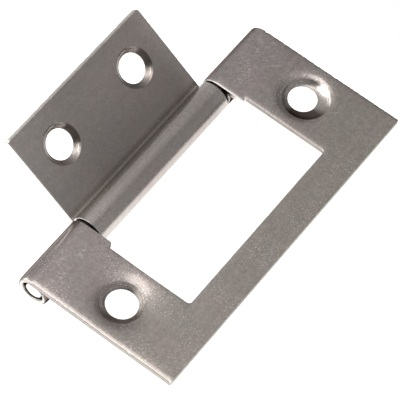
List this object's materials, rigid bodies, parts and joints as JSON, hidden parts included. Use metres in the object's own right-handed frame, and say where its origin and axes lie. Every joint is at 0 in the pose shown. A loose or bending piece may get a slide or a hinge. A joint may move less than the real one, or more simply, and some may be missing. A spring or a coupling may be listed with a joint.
{
  "type": "flush cabinet hinge",
  "caption": "Flush cabinet hinge in sheet steel: a windowed outer leaf, a smaller inner leaf that closes into the window, and a plain pin through rolled knuckles.",
  "frame": {"origin": "midway between the two screw holes of the outer leaf, on the face that this leaf is screwed down on", "axes": "+Z out of the outer leaf on the side of its screw heads, +Y along the hinge pin, +X from the pin to the outer leaf's far edge"},
  "size_m": [0.0358, 0.05, 0.0101],
  "materials": {
    "outer_leaf_steel": "satin zinc plate, warm grey, finely speckled",
    "inner_leaf_steel": "satin zinc plate, darker and smoother, with a faint blue and violet tint",
    "pin_steel": "bright cut wire"
  },
  "bodies": {
    "fixed_side": {"outer_leaf": "outer_leaf_steel", "hinge_pin": "pin_steel"},
    "swinging_side": {"inner_leaf": "inner_leaf_steel"}
  },
  "joints": [
    {"name": "leaf_hinge", "type": "hinge", "parent": "fixed_side", "child": "swinging_side", "pos_m": [-0.01005, 0, -0.0014], "axis": [0, 1, 0], "continuous": true}
  ]
}
